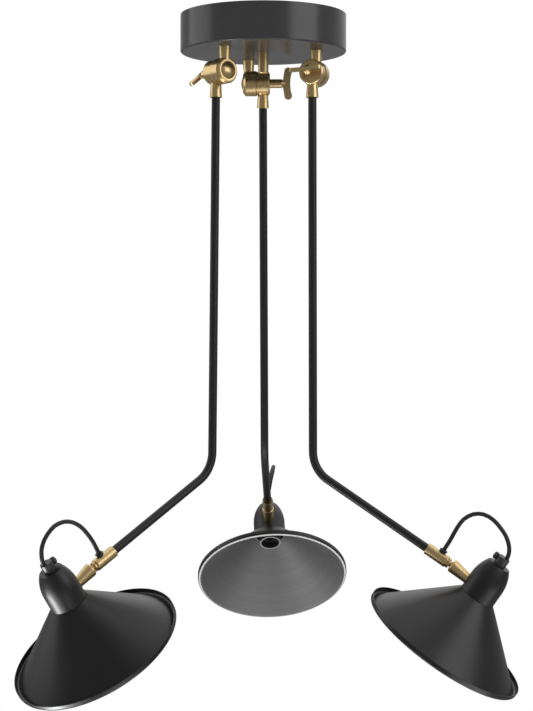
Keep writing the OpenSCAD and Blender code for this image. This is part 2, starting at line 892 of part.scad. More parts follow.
module cord_grip(i) {
    color(PLASTIC)
        on_shade(i)
            difference() {
                union() {
                    translate([0, 0, cap_h])
                        rotate_extrude()
                            polygon([
                                [0, 0], [grip_d / 2, 0], [grip_d / 2, grip_h - end_chamfer],
                                [grip_d / 2 - end_chamfer, grip_h], [0, grip_h]
                            ]);
                    translate([0, 0, cap_h - grip_thread_l])
                        chamfered_rod(grip_thread_r, 0, grip_thread_l + over);
                }
                translate([grip_lead_off, 0, cap_h])
                    cylinder(h = grip_h + over, r = lead_d / 2 + lead_gap);
                translate([0, 0, cap_h - grip_thread_l - over])
                    cylinder(h = grip_thread_l + grip_depth, d = wire_way_d);
                translate([0, 0, grip_screw_z])
                    rotate([0, -90, 0])
                        cylinder(h = grip_d, d = grip_screw_d / 2 + 2 * seat_gap);
            }
}

// Clamp screw that stands out of the cord grip's side, towards the arm
module grip_screw(i) {
    head_start = grip_d / 2 + seat_gap;
    head_end = head_start + grip_screw_l;
    color(PLASTIC)
        on_shade(i)
            translate([0, 0, grip_screw_z])
                rotate([0, -90, 0])
                    rotate_extrude()
                        polygon([
                            [0, end_chamfer], [grip_screw_d / 4, end_chamfer], [grip_screw_d / 4, head_start],
                            [grip_screw_d / 2, head_start], [grip_screw_d / 2, head_end - 2 * end_chamfer],
                            [grip_screw_d / 2 - 2 * end_chamfer, head_end], [0, head_end]
                        ]);
}

module lamp_holder(i) {
    shoulder = holder_top - 2 * boss_r;
    contact_r = shell_d / 4;
    color(PLASTIC)
        on_shade(i)
            rotate_extrude()
                difference() {
                    polygon([
                        [0, -holder_drop], [holder_r, -holder_drop], [holder_r, shoulder],
                        [boss_r, shoulder + holder_r - boss_r], [boss_r, holder_top], [0, holder_top]
                    ]);
                    translate([0, -holder_drop - over])
                        square([skirt_d / 2, skirt_h + over]);
                    translate([0, shell_mouth - over])
                        square([shell_out_r + seat_gap, shell_l + over]);
                    translate([0, holder_top - grip_thread_l])
                        square([grip_thread_r + seat_gap, grip_thread_l + over]);
                    translate([0, shell_floor - over])
                        square([contact_r - min_wall, holder_top]);
                }
}

// Threaded lamp shell and, apart from it, the centre contact on the holder's floor
module lamp_shell(i) {
    contact_r = shell_d / 4;
    color(BRASS)
        on_shade(i) {
            translate([0, 0, shell_mouth])
                difference() {
                    cylinder(h = shell_l - 2 * min_wall, r = shell_out_r);
                    translate([0, 0, -over])
                        cylinder(h = shell_l + 2 * over, d = shell_d);
                }
            translate([0, 0, shell_floor - min_wall - seat_gap])
                cylinder(h = min_wall, r = contact_r);
        }
}

BEND_STEPS = 12;
function arc(centre, r, from, to) = [for (k = [0 : BEND_STEPS])
    centre + r * [cos(from + (to - from) * k / BEND_STEPS), sin(from + (to - from) * k / BEND_STEPS)]];

module shade_section() {
    lip = [lip_x, lip_z];
    under_end = lip - bend_out_r * cone_out;
    under_start = under_end - cone_dir * (under_end.y + shade_t) / cone_dir.y;
    polygon(concat(
        [[neck_bore_r, -shade_t], under_start],
        arc(lip, bend_out_r, 180 + cone_angle, 360),
        arc(lip + [lip_bend_r + shade_t / 2, lip_h], shade_t / 2, 0, 180),
        arc(lip, lip_bend_r, 360, 180 + cone_angle),
        [[cone_top_r, 0], [shade_neck_r, 0], [shade_neck_r, shade_neck_h], [neck_bore_r, shade_neck_h]]
    ));
}

module shade(i) {
    color(BLACK)
        on_shade(i)
            difference() {
                rotate_extrude($fn = 180)
                    shade_section();
                spigot_hole();
            }
}

// Lead from the end sleeve to the cord grip, in the sleeve's frame

LEAD_SIDES = 10;
LEAD_STEPS = 3;
// Points of the free loop: along the sleeve, away from the arm and sideways
LEAD_LOOPS = [
    [[17.5, 22.5, 0], [18, 30, 0], [19.5, 39.5, 0], [22.5, 50.5, 0], [29, 61.5, 0], [38.5, 69, 0],
        [50.5, 72, 0], [61.5, 70, 0], [70.5, 66, 0], [77.5, 60, 0], [81, 54.5, 0], [83.5, 48.5, 0]],
    [[17.5, 23, 0], [17, 31, 0], [16.5, 41, 0], [17.5, 53, 0], [23.5, 64.5, 0], [34, 71.5, 0],
        [47, 72.5, 0], [58.5, 69.5, 0], [68, 65.5, 0], [75, 60.5, 0], [80, 55, 0], [83, 49, 0]],
    [[17.5, 23.5, -1], [18.5, 32, -3.5], [21.5, 42, -6], [27.5, 53, -8.5], [37.5, 62, -10.5],
        [50, 66.5, -11], [63.5, 67, -10], [75.5, 63.5, -8], [84.5, 57.5, -5.5], [90.5, 50.5, -3.5],
        [93.5, 43, -1.5], [94.5, 36, -0.5]]
];

function turn_y(v, a) = [v.x * cos(a) + v.z * sin(a), v.y, -v.x * sin(a) + v.z * cos(a)];
function cap_to_head(v) = [0, 0, ball_to_axis] + turn_y(v - [0, 0, attach_h], -90 - housing_lean);
function cap_to_sleeve(v, i) = [0, 0, ball_pos] + turn_y(cap_to_head(v), -head_tilt[i]);
function lead_points(i) = concat(
    [for (away = [tube_r, bush_top, bush_top + lead_straight]) [-away, 0, bush_pos]],
    [for (p = LEAD_LOOPS[i]) [-p.y, p.z, p.x]],
    [for (h = [grip_h, grip_depth]) cap_to_sleeve([grip_lead_off, 0, cap_h + h], i)]
);
// Point between b and c of a smooth curve through a, b, c and d
function curve_point(a, b, c, d, t) =
    (2 * b + (c - a) * t + (2 * a - 5 * b + 4 * c - d) * pow(t, 2) + (3 * b - a - 3 * c + d) * pow(t, 3)) / 2;
function curve(p) = concat(
    [for (k = [0 : len(p) - 2]) for (s = [0 : LEAD_STEPS - 1])
        curve_point(p[max(k - 1, 0)], p[k], p[k + 1], p[min(k + 2, len(p) - 1)], s / LEAD_STEPS)],
    [p[len(p) - 1]]
);
function unit(v) = v / norm(v);
function heading(p, k) = unit(p[min(k + 1, len(p) - 1)] - p[max(k - 1, 0)]);
function ring_across(p, k) = unit(cross(heading(p, k), [0, 1, 0]));
function ring(p, k) = [for (s = [0 : LEAD_SIDES - 1])
    p[k] + lead_d / 2 * (cos(s * 360 / LEAD_SIDES) * ring_across(p, k)
        + sin(s * 360 / LEAD_SIDES) * cross(heading(p, k), ring_across(p, k)))];

module tube_along(p) {
    last = len(p) - 1;
    sides = LEAD_SIDES;
    polyhedron(
        points = [for (k = [0 : last]) each ring(p, k)],
        faces = concat(
            [[for (s = [0 : sides - 1]) s]],
            [for (k = [0 : last - 1]) for (s = [0 : sides - 1])
                [k * sides + s, (k + 1) * sides + s, (k + 1) * sides + (s + 1) % sides]],
            [for (k = [0 : last - 1]) for (s = [0 : sides - 1])
                [k * sides + s, (k + 1) * sides + (s + 1) % sides, k * sides + (s + 1) % sides]],
            [[for (s = [sides - 1 : -1 : 0]) last * sides + s]]
        )
    );
}

module lead(i) {
    color(PLASTIC)
        on_sleeve(i)
            tube_along(curve(lead_points(i)));
}

canopy();
ceiling_bracket();
fixing_rod();
rod_nut();
fixing_sleeve();
terminal_block();
for (i = [0 : len(SIDES) - 1]) {
    stem_half(i);
    stem_nut(i);
    pivot_bolt(i);
    wing_nut(i);
    tube_half(i);
    arm_tube(i);
    end_sleeve(i);
    cord_bush(i);
    ball_stud(i);
    lead(i);
    ball_housing(i);
    housing_nut(i);
    cap(i);
    cord_grip(i);
    grip_screw(i);
    lamp_holder(i);
    lamp_shell(i);
    shade(i);
}
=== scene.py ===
# Looks of a ceiling lamp with three hinged arms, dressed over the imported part.
import json
import math

import bpy
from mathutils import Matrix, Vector


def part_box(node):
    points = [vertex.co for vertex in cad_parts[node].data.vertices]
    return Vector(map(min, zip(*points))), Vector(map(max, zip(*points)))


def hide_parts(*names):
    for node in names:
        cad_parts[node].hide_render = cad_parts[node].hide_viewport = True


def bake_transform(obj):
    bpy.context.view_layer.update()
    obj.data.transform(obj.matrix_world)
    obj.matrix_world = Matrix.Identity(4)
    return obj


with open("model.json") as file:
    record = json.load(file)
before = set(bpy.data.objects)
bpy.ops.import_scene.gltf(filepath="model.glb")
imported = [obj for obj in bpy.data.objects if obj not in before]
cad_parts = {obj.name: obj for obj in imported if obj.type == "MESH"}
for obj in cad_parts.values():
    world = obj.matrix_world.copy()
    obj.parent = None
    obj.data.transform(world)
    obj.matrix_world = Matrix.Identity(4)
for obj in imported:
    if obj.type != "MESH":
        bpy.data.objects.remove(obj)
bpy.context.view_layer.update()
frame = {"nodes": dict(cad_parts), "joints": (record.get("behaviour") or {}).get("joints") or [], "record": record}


# Camera
# The photograph is taken level, from straight in front of the lamp, at about half the lamp's height. Its
# focal length and the pixel on its optical axis were fitted to the outlines.
PHOTO_WIDTH = 533
PHOTO_HEIGHT = 711
FOCAL_PIXELS = 1926.3
AXIS_PIXEL = (263.3, 357.1)
CAMERA_DISTANCE = 2.326
CAMERA_DROP = 0.4125
SENSOR = 36

camera_data = bpy.data.cameras.new("camera")
camera_data.sensor_fit = "VERTICAL"
camera_data.sensor_height = SENSOR
camera_data.lens = FOCAL_PIXELS / PHOTO_HEIGHT * SENSOR
camera_data.shift_x = (PHOTO_WIDTH / 2 - AXIS_PIXEL[0]) / PHOTO_HEIGHT
camera_data.shift_y = (AXIS_PIXEL[1] - PHOTO_HEIGHT / 2) / PHOTO_HEIGHT
camera = bpy.data.objects.new("camera", camera_data)
camera.location = (0, -CAMERA_DISTANCE, -CAMERA_DROP)
camera.rotation_euler = (math.pi / 2, 0, 0)
bpy.context.scene.collection.objects.link(camera)
bpy.context.scene.camera = camera


# Canopy
# A drawn steel cup, powder coated in dark satin grey. One brass sleeve nut in its middle pulls it up
# against the ceiling, and the three stems stand in holes through its floor.
CANOPY_GREY = (0.039, 0.039, 0.040, 1)
DUST_GREY = (0.2, 0.19, 0.18, 1)
DUST_SHARE = 0.08
PAINT_PEEL = 1100.0


def add_node(tree, kind, settings=None, inputs=None):
    """A new shader node with its settings and with values or links on its inputs."""
    made = tree.nodes.new(kind)
    for name, value in (settings or {}).items():
        setattr(made, name, value)
    for name, value in (inputs or {}).items():
        if isinstance(value, bpy.types.NodeSocket):
            tree.links.new(value, made.inputs[name])
        else:
            made.inputs[name].default_value = value
    return made


def new_finish(name):
    """An empty material with one shader, and the tree to wire it in."""
    material = bpy.data.materials.new(name)
    material.use_nodes = True
    tree = material.node_tree
    tree.nodes.clear()
    shader = add_node(tree, "ShaderNodeBsdfPrincipled")
    add_node(tree, "ShaderNodeOutputMaterial", inputs={"Surface": shader.outputs["BSDF"]})
    return material, tree, shader


def new_group(name, inputs, outputs):
    """A shader node group with its sockets, and the nodes at its two ends."""
    group = bpy.data.node_groups.new(name, "ShaderNodeTree")
    for label, kind in inputs.items():
        group.interface.new_socket(label, in_out="INPUT", socket_type=kind)
    for label in outputs:
        group.interface.new_socket(label, in_out="OUTPUT", socket_type="NodeSocketFloat")
    return group, group.nodes.new("NodeGroupInput"), group.nodes.new("NodeGroupOutput")


def paint_skin_group():
    """Powder coat: a fine orange-peel height, a slow cloudy tone and a few specks of dust."""
    group, start, end = new_group(
        "paint_skin", {"Peel Scale": "NodeSocketFloat"}, ["Height", "Cloud", "Dust"]
    )
    place = add_node(group, "ShaderNodeTexCoord").outputs["Object"]
    peel = add_node(group, "ShaderNodeTexNoise", inputs={
        "Vector": place, "Scale": start.outputs["Peel Scale"], "Detail": 2.0, "Roughness": 0.5})
    cloud = add_node(group, "ShaderNodeTexNoise", inputs={"Vector": place, "Scale": 38.0, "Detail": 3.0})
    specks = add_node(group, "ShaderNodeTexNoise", inputs={"Vector": place, "Scale": 900.0, "Detail": 1.0})
    dust = add_node(group, "ShaderNodeMapRange", inputs={
        "Value": specks.outputs["Fac"], "From Min": 0.69, "From Max": 0.76})
    group.links.new(peel.outputs["Fac"], end.inputs["Height"])
    group.links.new(cloud.outputs["Fac"], end.inputs["Cloud"])
    group.links.new(dust.outputs["Result"], end.inputs["Dust"])
    return group


PAINT_SKIN = paint_skin_group()


def ranged(tree, value, low, high):
    """The value from 0 to 1 stretched to run from low to high."""
    made = add_node(tree, "ShaderNodeMapRange", inputs={"Value": value, "To Min": low, "To Max": high})
    return made.outputs["Result"]


def blended(tree, factor, first, second):
    """A colour between two colours."""
    made = add_node(tree, "ShaderNodeMix", {"data_type": "RGBA"}, {0: factor, 6: first, 7: second})
    return made.outputs[2]


def group_node(tree, group, inputs=None):
    """A node that places a group in a material."""
    return add_node(tree, "ShaderNodeGroup", {"node_tree": group}, inputs)


def add_bump(tree, shader, height, strength, distance):
    """Fine relief on a finish, from a height."""
    bump = add_node(tree, "ShaderNodeBump", inputs={
        "Height": height, "Strength": strength, "Distance": distance})
    tree.links.new(bump.outputs["Normal"], shader.inputs["Normal"])


def satin_paint(name, colour, roughness):
    """Powder-coated metal in one colour with a satin gloss."""
    material, tree, shader = new_finish(name)
    skin = group_node(tree, PAINT_SKIN, {"Peel Scale": PAINT_PEEL})
    lighter = tuple(min(1, 1.35 * c + 0.004) for c in colour[:3]) + (1,)
    toned = blended(tree, ranged(tree, skin.outputs["Cloud"], 0, 1), colour, lighter)
    dusted = blended(tree, ranged(tree, skin.outputs["Dust"], 0, DUST_SHARE), toned, DUST_GREY)
    tree.links.new(dusted, shader.inputs["Base Color"])
    tree.links.new(ranged(tree, skin.outputs["Cloud"], roughness - 0.05, roughness + 0.06),
                   shader.inputs["Roughness"])
    add_bump(tree, shader, skin.outputs["Height"], 0.012, 0.0001)
    return material


def dress(material, *names):
    """Puts a material on CAD nodes."""
    for name in names:
        for slot in frame["nodes"][name].material_slots:
            slot.material = material


dress(satin_paint("canopy_grey_coat", CANOPY_GREY, 0.22), "canopy")


# Ceiling fixing
# A zinc-plated strap is screwed to the ceiling and carries a threaded rod, its nut and a terminal block.
# The canopy hides all of it but the brass sleeve nut on the rod's end.
ZINC = (0.56, 0.57, 0.58, 1)
CREAM = (0.76, 0.72, 0.62, 1)
PLATE_PEEL = 420.0
PLASTIC_PEEL = 2600.0


def plated_steel(name, colour):
    """Zinc-plated steel with a cloudy grain."""
    material, tree, shader = new_finish(name)
    skin = group_node(tree, PAINT_SKIN, {"Peel Scale": PLATE_PEEL})
    duller = tuple(0.8 * c for c in colour[:3]) + (1,)
    tree.links.new(blended(tree, skin.outputs["Height"], duller, colour), shader.inputs["Base Color"])
    tree.links.new(ranged(tree, skin.outputs["Cloud"], 0.3, 0.45), shader.inputs["Roughness"])
    shader.inputs["Metallic"].default_value = 1.0
    return material


def moulded_plastic(name, colour, roughness):
    """Moulded plastic with a fine matt skin."""
    material, tree, shader = new_finish(name)
    skin = group_node(tree, PAINT_SKIN, {"Peel Scale": PLASTIC_PEEL})
    lighter = tuple(min(1, 1.2 * c + 0.003) for c in colour[:3]) + (1,)
    tree.links.new(blended(tree, skin.outputs["Cloud"], colour, lighter), shader.inputs["Base Color"])
    tree.links.new(ranged(tree, skin.outputs["Height"], roughness - 0.06, roughness + 0.06),
                   shader.inputs["Roughness"])
    add_bump(tree, shader, skin.outputs["Height"], 0.03, 0.0001)
    return material


zinc = plated_steel("zinc_plate", ZINC)
dress(zinc, "ceiling_bracket", "fixing_rod", "rod_nut")
dress(moulded_plastic("cream_block", CREAM, 0.5), "terminal_block")


# Brass of the knuckles and fixing sleeve
# Turned from bar and satin brushed, so fine lines run round each piece's own axis. Two toothed halves
# are clamped by a domed bolt and a wing nut, and the wire runs through their hollow middle.
BRASS_LIGHT = (0.86, 0.66, 0.35, 1)
BRASS_DEEP = (0.64, 0.46, 0.22, 1)
BRASS_LINES = 2400.0
BRASS_AGEING = 90.0
SIDES = ["left", "right", "back"]
joints = {joint["name"]: joint for joint in frame["joints"]}


def lathe_frame_group():
    """Distance from a turning axis, place along it, and the fine lines that a lathe leaves."""
    group, start, end = new_group(
        "lathe_lines",
        {"Point": "NodeSocketVector", "Axis": "NodeSocketVector", "Fineness": "NodeSocketFloat"},
        ["Radius", "Along", "Lines", "Bands"],
    )
    place = add_node(group, "ShaderNodeTexCoord").outputs["Object"]
    arm = add_node(group, "ShaderNodeVectorMath", {"operation": "SUBTRACT"}, {
        0: place, 1: start.outputs["Point"]})
    along = add_node(group, "ShaderNodeVectorMath", {"operation": "DOT_PRODUCT"}, {
        0: arm.outputs["Vector"], 1: start.outputs["Axis"]})
    shadow = add_node(group, "ShaderNodeVectorMath", {"operation": "SCALE"}, {
        0: start.outputs["Axis"], "Scale": along.outputs["Value"]})
    across = add_node(group, "ShaderNodeVectorMath", {"operation": "SUBTRACT"}, {
        0: arm.outputs["Vector"], 1: shadow.outputs["Vector"]})
    radius = add_node(group, "ShaderNodeVectorMath", {"operation": "LENGTH"}, {0: across.outputs["Vector"]})
    track = add_node(group, "ShaderNodeCombineXYZ", inputs={
        "X": radius.outputs["Value"], "Y": along.outputs["Value"]})
    lines = add_node(group, "ShaderNodeTexNoise", {"noise_dimensions": "2D"}, {
        "Vector": track.outputs["Vector"], "Scale": start.outputs["Fineness"],
        "Detail": 3.0, "Roughness": 0.7})
    bands = add_node(group, "ShaderNodeTexNoise", {"noise_dimensions": "2D"}, {
        "Vector": track.outputs["Vector"], "Scale": 160.0, "Detail": 1.0})
    group.links.new(radius.outputs["Value"], end.inputs["Radius"])
    group.links.new(along.outputs["Value"], end.inputs["Along"])
    group.links.new(lines.outputs["Fac"], end.inputs["Lines"])
    group.links.new(bands.outputs["Fac"], end.inputs["Bands"])
    return group


LATHE_LINES = lathe_frame_group()


def turned_brass(name, point, axis, roughness):
    """Satin brass with turning lines round the given axis."""
    material, tree, shader = new_finish(name)
    lathe = group_node(tree, LATHE_LINES, {"Point": point, "Axis": axis, "Fineness": BRASS_LINES})
    skin = group_node(tree, PAINT_SKIN, {"Peel Scale": BRASS_AGEING})
    lined = blended(tree, ranged(tree, lathe.outputs["Lines"], 0, 1), BRASS_DEEP, BRASS_LIGHT)
    aged = blended(tree, ranged(tree, skin.outputs["Height"], 0, 0.5), lined, BRASS_DEEP)
    tree.links.new(aged, shader.inputs["Base Color"])
    tree.links.new(ranged(tree, lathe.outputs["Bands"], roughness - 0.06, roughness + 0.06),
                   shader.inputs["Roughness"])
    shader.inputs["Metallic"].default_value = 1.0
    add_bump(tree, shader, lathe.outputs["Lines"], 0.02, 0.00005)
    return material


dress(turned_brass("brass_fixing_sleeve", (0, 0, 0), (0, 0, 1), 0.3), "fixing_sleeve")
for side in SIDES:
    swing = joints[side + "_knuckle_swing"]
    brass = turned_brass("brass_knuckle_" + side, swing["pos_m"], swing["axis"], 0.28)
    dress(brass, side + "_stem_half", side + "_tube_half", side + "_pivot_bolt", side + "_wing_nut")
    dress(zinc, side + "_stem_nut")


# Arm tubes
# Steel tube, bent once and powder coated satin black. It is pressed into the knuckle's socket above and
# carries the end sleeve below.
SATIN_BLACK = (0.005, 0.005, 0.005, 1)

tube_coat = satin_paint("tube_black_coat", SATIN_BLACK, 0.46)
for side in SIDES:
    dress(tube_coat, side + "_arm_tube")


# End sleeves and ball joints
# Turned brass again. The sleeve turns on the tube, and its closed end holds the ball that the
# housing on the lamp head grips. A black bush guides the lead out of the sleeve's upper side.
BUSH_BLACK = (0.014, 0.014, 0.014, 1)

bush_plastic = moulded_plastic("bush_black_plastic", BUSH_BLACK, 0.42)
for side in SIDES:
    turn = joints[side + "_sleeve_turn"]
    ball = Vector(joints[side + "_head_tilt"]["pos_m"])
    brass = turned_brass("brass_sleeve_" + side, turn["pos_m"], turn["axis"], 0.34)
    dress(brass, side + "_end_sleeve", side + "_ball_stud")
    low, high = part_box(side + "_ball_housing")
    reach = ((low + high) / 2 - ball).normalized()
    dress(turned_brass("brass_housing_" + side, ball, reach, 0.34), side + "_ball_housing")
    dress(bush_plastic, side + "_cord_bush")
    dress(zinc, side + "_housing_nut")


# Caps and shades
# The cap is a deep-drawn bell and the shade a spun aluminium cone whose lip is rolled up. Both are
# satin black outside, and the shade is left bare inside, where the spinning tool's rings show.
SHADE_BLACK = (0.005, 0.005, 0.005, 1)
BARE_LIGHT = (0.29, 0.29, 0.294, 1)
BARE_DARK = (0.185, 0.185, 0.188, 1)
# The pale ring just inside the lip's bend is a painted highlight, and it is kept out of the metallic mask.
PAINTED_LIP_HIGHLIGHT = (0.80, 0.80, 0.80, 1)
SHADE_RADIUS = 0.1015
LIP_DEPTH = 0.0013
LIP_HIGHLIGHT_WIDTH = 0.0017
PAINT_FADE = 0.0002
LIP_HIGHLIGHT_FADE = 0.0005
SPUN_LINES = 1500.0
SOCKET_TO_MOUTH = 0.004
BARE_RADIUS = SHADE_RADIUS - LIP_DEPTH
sockets = {mount["name"]: mount for mount in frame["record"]["mounts"]}


def shade_axis(side):
    """A point on the shade's axis at the cap's mouth, and the axis from the mouth to the cap's top."""
    socket = sockets[side + "_lamp_socket"]
    up = -Vector(socket["axis"])
    return Vector(socket["pos_m"]) - SOCKET_TO_MOUTH * up, up


def spun_shade(name, point, up):
    """Satin black outside and round the lip, bare spun inside, with a pale painted highlight ring at the lip's
    bend.
    """
    material, tree, shader = new_finish(name)
    rings = group_node(tree, LATHE_LINES, {"Point": point, "Axis": up, "Fineness": SPUN_LINES})
    skin = group_node(tree, PAINT_SKIN, {"Peel Scale": PAINT_PEEL})
    facing = add_node(tree, "ShaderNodeVectorMath", {"operation": "DOT_PRODUCT"}, {
        0: add_node(tree, "ShaderNodeTexCoord").outputs["Normal"], 1: up})
    downward = add_node(tree, "ShaderNodeMapRange", inputs={
        "Value": facing.outputs["Value"], "From Min": -0.05, "From Max": -0.1})
    inside_lip = add_node(tree, "ShaderNodeMapRange", inputs={
        "Value": rings.outputs["Radius"], "From Min": BARE_RADIUS + PAINT_FADE, "From Max": BARE_RADIUS})
    bare = add_node(tree, "ShaderNodeMath", {"operation": "MULTIPLY"}, {
        0: downward.outputs["Result"], 1: inside_lip.outputs["Result"]}).outputs["Value"]
    # Painted highlight: a pale ring just inside the lip's bend.
    painted_highlight = add_node(tree, "ShaderNodeMapRange", inputs={
        "Value": rings.outputs["Radius"], "From Min": BARE_RADIUS - LIP_HIGHLIGHT_WIDTH - LIP_HIGHLIGHT_FADE,
        "From Max": BARE_RADIUS - LIP_HIGHLIGHT_WIDTH}).outputs["Result"]
    ringed = blended(tree, rings.outputs["Lines"], BARE_DARK, BARE_LIGHT)
    metal = blended(tree, painted_highlight, ringed, PAINTED_LIP_HIGHLIGHT)
    lighter = tuple(1.4 * c + 0.002 for c in SHADE_BLACK[:3]) + (1,)
    painted = blended(tree, skin.outputs["Cloud"], SHADE_BLACK, lighter)
    tree.links.new(blended(tree, bare, painted, metal), shader.inputs["Base Color"])
    mirror_metal = add_node(tree, "ShaderNodeMath", {"operation": "SUBTRACT", "use_clamp": True},
                            {0: bare, 1: painted_highlight})
    tree.links.new(mirror_metal.outputs["Value"], shader.inputs["Metallic"])
    coat_gloss = ranged(tree, skin.outputs["Cloud"], 0.30, 0.38)
    bare_gloss = ranged(tree, rings.outputs["Bands"], 0.52, 0.66)
    gloss = add_node(tree, "ShaderNodeMix", inputs={0: bare, 2: coat_gloss, 3: bare_gloss})
    tree.links.new(gloss.outputs[0], shader.inputs["Roughness"])
    height = add_node(tree, "ShaderNodeMix", inputs={
        0: bare, 2: skin.outputs["Height"], 3: rings.outputs["Lines"]})
    add_bump(tree, shader, height.outputs[0], 0.04, 0.0001)
    return material


cap_coat = satin_paint("cap_black_coat", SHADE_BLACK, 0.40)
for side in SIDES:
    mouth, up = shade_axis(side)
    dress(spun_shade("spun_shade_" + side, mouth, up), side + "_shade")
    dress(cap_coat, side + "_cap")


# Lamp holders and cord grips
# Black moulded holders, hung from the cord grip's thread under the cap's top. The flat ring of the mouth is
# coloured pale grey, and the lamp shell deep inside is plated steel, darkened to paint the shade that falls there.
HOLDER_BLACK = (0.03, 0.03, 0.03, 1)
HOLDER_MOUTH_GREY = (0.36, 0.36, 0.36, 1)
HOLDER_DROP = 0.015
MOUTH_RING_DEPTH = 0.0004
# Darker than the plating itself: painted shade for the shell deep inside the holder.
SHELL_SHADED_GREY = (0.16, 0.16, 0.16, 1)


def pale_mouth_holder(name, point, up):
    """Black moulding whose mouth ring, below the given point, is pale grey."""
    material, tree, shader = new_finish(name)
    skin = group_node(tree, PAINT_SKIN, {"Peel Scale": PLASTIC_PEEL})
    place = group_node(tree, LATHE_LINES, {"Point": point, "Axis": up, "Fineness": SPUN_LINES})
    mouth_ring = add_node(tree, "ShaderNodeMapRange", inputs={
        "Value": place.outputs["Along"], "From Min": MOUTH_RING_DEPTH - HOLDER_DROP, "From Max": -HOLDER_DROP})
    mouth_toned = blended(tree, mouth_ring.outputs["Result"], HOLDER_BLACK, HOLDER_MOUTH_GREY)
    tree.links.new(mouth_toned, shader.inputs["Base Color"])
    tree.links.new(ranged(tree, skin.outputs["Cloud"], 0.28, 0.40), shader.inputs["Roughness"])
    add_bump(tree, shader, skin.outputs["Height"], 0.03, 0.0001)
    return material


grip_plastic = moulded_plastic("grip_black_plastic", HOLDER_BLACK, 0.34)
shaded_shell_steel = plated_steel("shell_shaded_plate", SHELL_SHADED_GREY)
for side in SIDES:
    mouth, up = shade_axis(side)
    dress(pale_mouth_holder("holder_black_plastic_" + side, mouth, up), side + "_lamp_holder")
    dress(shaded_shell_steel, side + "_lamp_shell")
    dress(grip_plastic, side + "_cord_grip", side + "_grip_screw")


# Leads
# Round black lamp flex, 5 mm thick. It leaves the end sleeve through the bush, stands up in a loose loop
# and goes down into the cord grip on the cap, so that the head can tilt.
LEAD_BLACK = (0.011, 0.011, 0.011, 1)
LEAD_DIAMETER = 0.005
LEAD_SIDES = 20
LEAD_STEPS = 2
BUSH_ALONG = 0.0175
BUSH_INSIDE = 0.005
BUSH_TOP = 0.0104
LEAD_STRAIGHT = 0.006
GRIP_ASIDE = 0.0032
GRIP_TOP = 0.0565
GRIP_INSIDE = 0.051
# Points of the free loop: along the sleeve, away from the arm and sideways
LEAD_LOOPS = {
    "left": [(0.0175, 0.0225, 0), (0.018, 0.030, 0), (0.0195, 0.0395, 0), (0.0225, 0.0505, 0),
             (0.029, 0.0615, 0), (0.0385, 0.069, 0), (0.0505, 0.072, 0), (0.0615, 0.070, 0),
             (0.0705, 0.066, 0), (0.0775, 0.060, 0), (0.081, 0.0545, 0), (0.0835, 0.0485, 0)],
    "right": [(0.0175, 0.023, 0), (0.017, 0.031, 0), (0.0165, 0.041, 0), (0.0175, 0.053, 0),
              (0.0235, 0.0645, 0), (0.034, 0.0715, 0), (0.047, 0.0725, 0), (0.0585, 0.0695, 0),
              (0.068, 0.0655, 0), (0.075, 0.0605, 0), (0.080, 0.055, 0), (0.083, 0.049, 0)],
    "back": [(0.0175, 0.0235, -0.001), (0.0185, 0.032, -0.0035), (0.0215, 0.042, -0.006),
             (0.0275, 0.053, -0.0085), (0.0375, 0.062, -0.0105), (0.050, 0.0665, -0.011),
             (0.0635, 0.067, -0.010), (0.0755, 0.0635, -0.008), (0.0845, 0.0575, -0.0055),
             (0.0905, 0.0505, -0.0035), (0.0935, 0.043, -0.0015), (0.0945, 0.036, -0.0005)],
}


def sleeve_point(side, along, away, aside):
    """A point given in the end sleeve's own directions, in the lamp's frame."""
    turn = joints[side + "_sleeve_turn"]
    sideways = -Vector(joints[side + "_head_tilt"]["axis"])
    forward = Vector(turn["axis"])
    outward = forward.cross(sideways)
    return Vector(turn["pos_m"]) + along * forward + away * outward + aside * sideways


def grip_point(side, height):
    """A point on the lead's way down into the cord grip."""
    mouth, up = shade_axis(side)
    from_ball = mouth - Vector(joints[side + "_head_tilt"]["pos_m"])
    outward = (from_ball - from_ball.dot(up) * up).normalized()
    return mouth + height * up + GRIP_ASIDE * outward


def smooth_route(points):
    """Points on a smooth curve through the given ones."""
    route = []
    last = len(points) - 1
    for k in range(last):
        a, b, c, d = (points[min(max(n, 0), last)] for n in (k - 1, k, k + 1, k + 2))
        for step in range(LEAD_STEPS):
            t = step / LEAD_STEPS
            route.append((2 * b + (c - a) * t + (2 * a - 5 * b + 4 * c - d) * t ** 2
                          + (3 * b - a - 3 * c + d) * t ** 3) / 2)
    return route + [points[last]]


def tube_mesh(name, route, radius, sides):
    """A closed round tube along a route."""
    corners = []
    faces = []
    across = None
    for k, point in enumerate(route):
        heading = (route[min(k + 1, len(route) - 1)] - route[max(k - 1, 0)]).normalized()
        across = heading.orthogonal() if across is None else across - across.dot(heading) * heading
        across.normalize()
        upright = heading.cross(across)
        for s in range(sides):
            angle = 2 * math.pi * s / sides
            corners.append(point + radius * (math.cos(angle) * across + math.sin(angle) * upright))
    for k in range(len(route) - 1):
        for s in range(sides):
            n = (s + 1) % sides
            faces.append((k * sides + s, k * sides + n, (k + 1) * sides + n, (k + 1) * sides + s))
    faces.append(tuple(reversed(range(sides))))
    faces.append(tuple((len(route) - 1) * sides + s for s in range(sides)))
    mesh = bpy.data.meshes.new(name)
    mesh.from_pydata(corners, [], faces)
    mesh.shade_smooth()
    return mesh


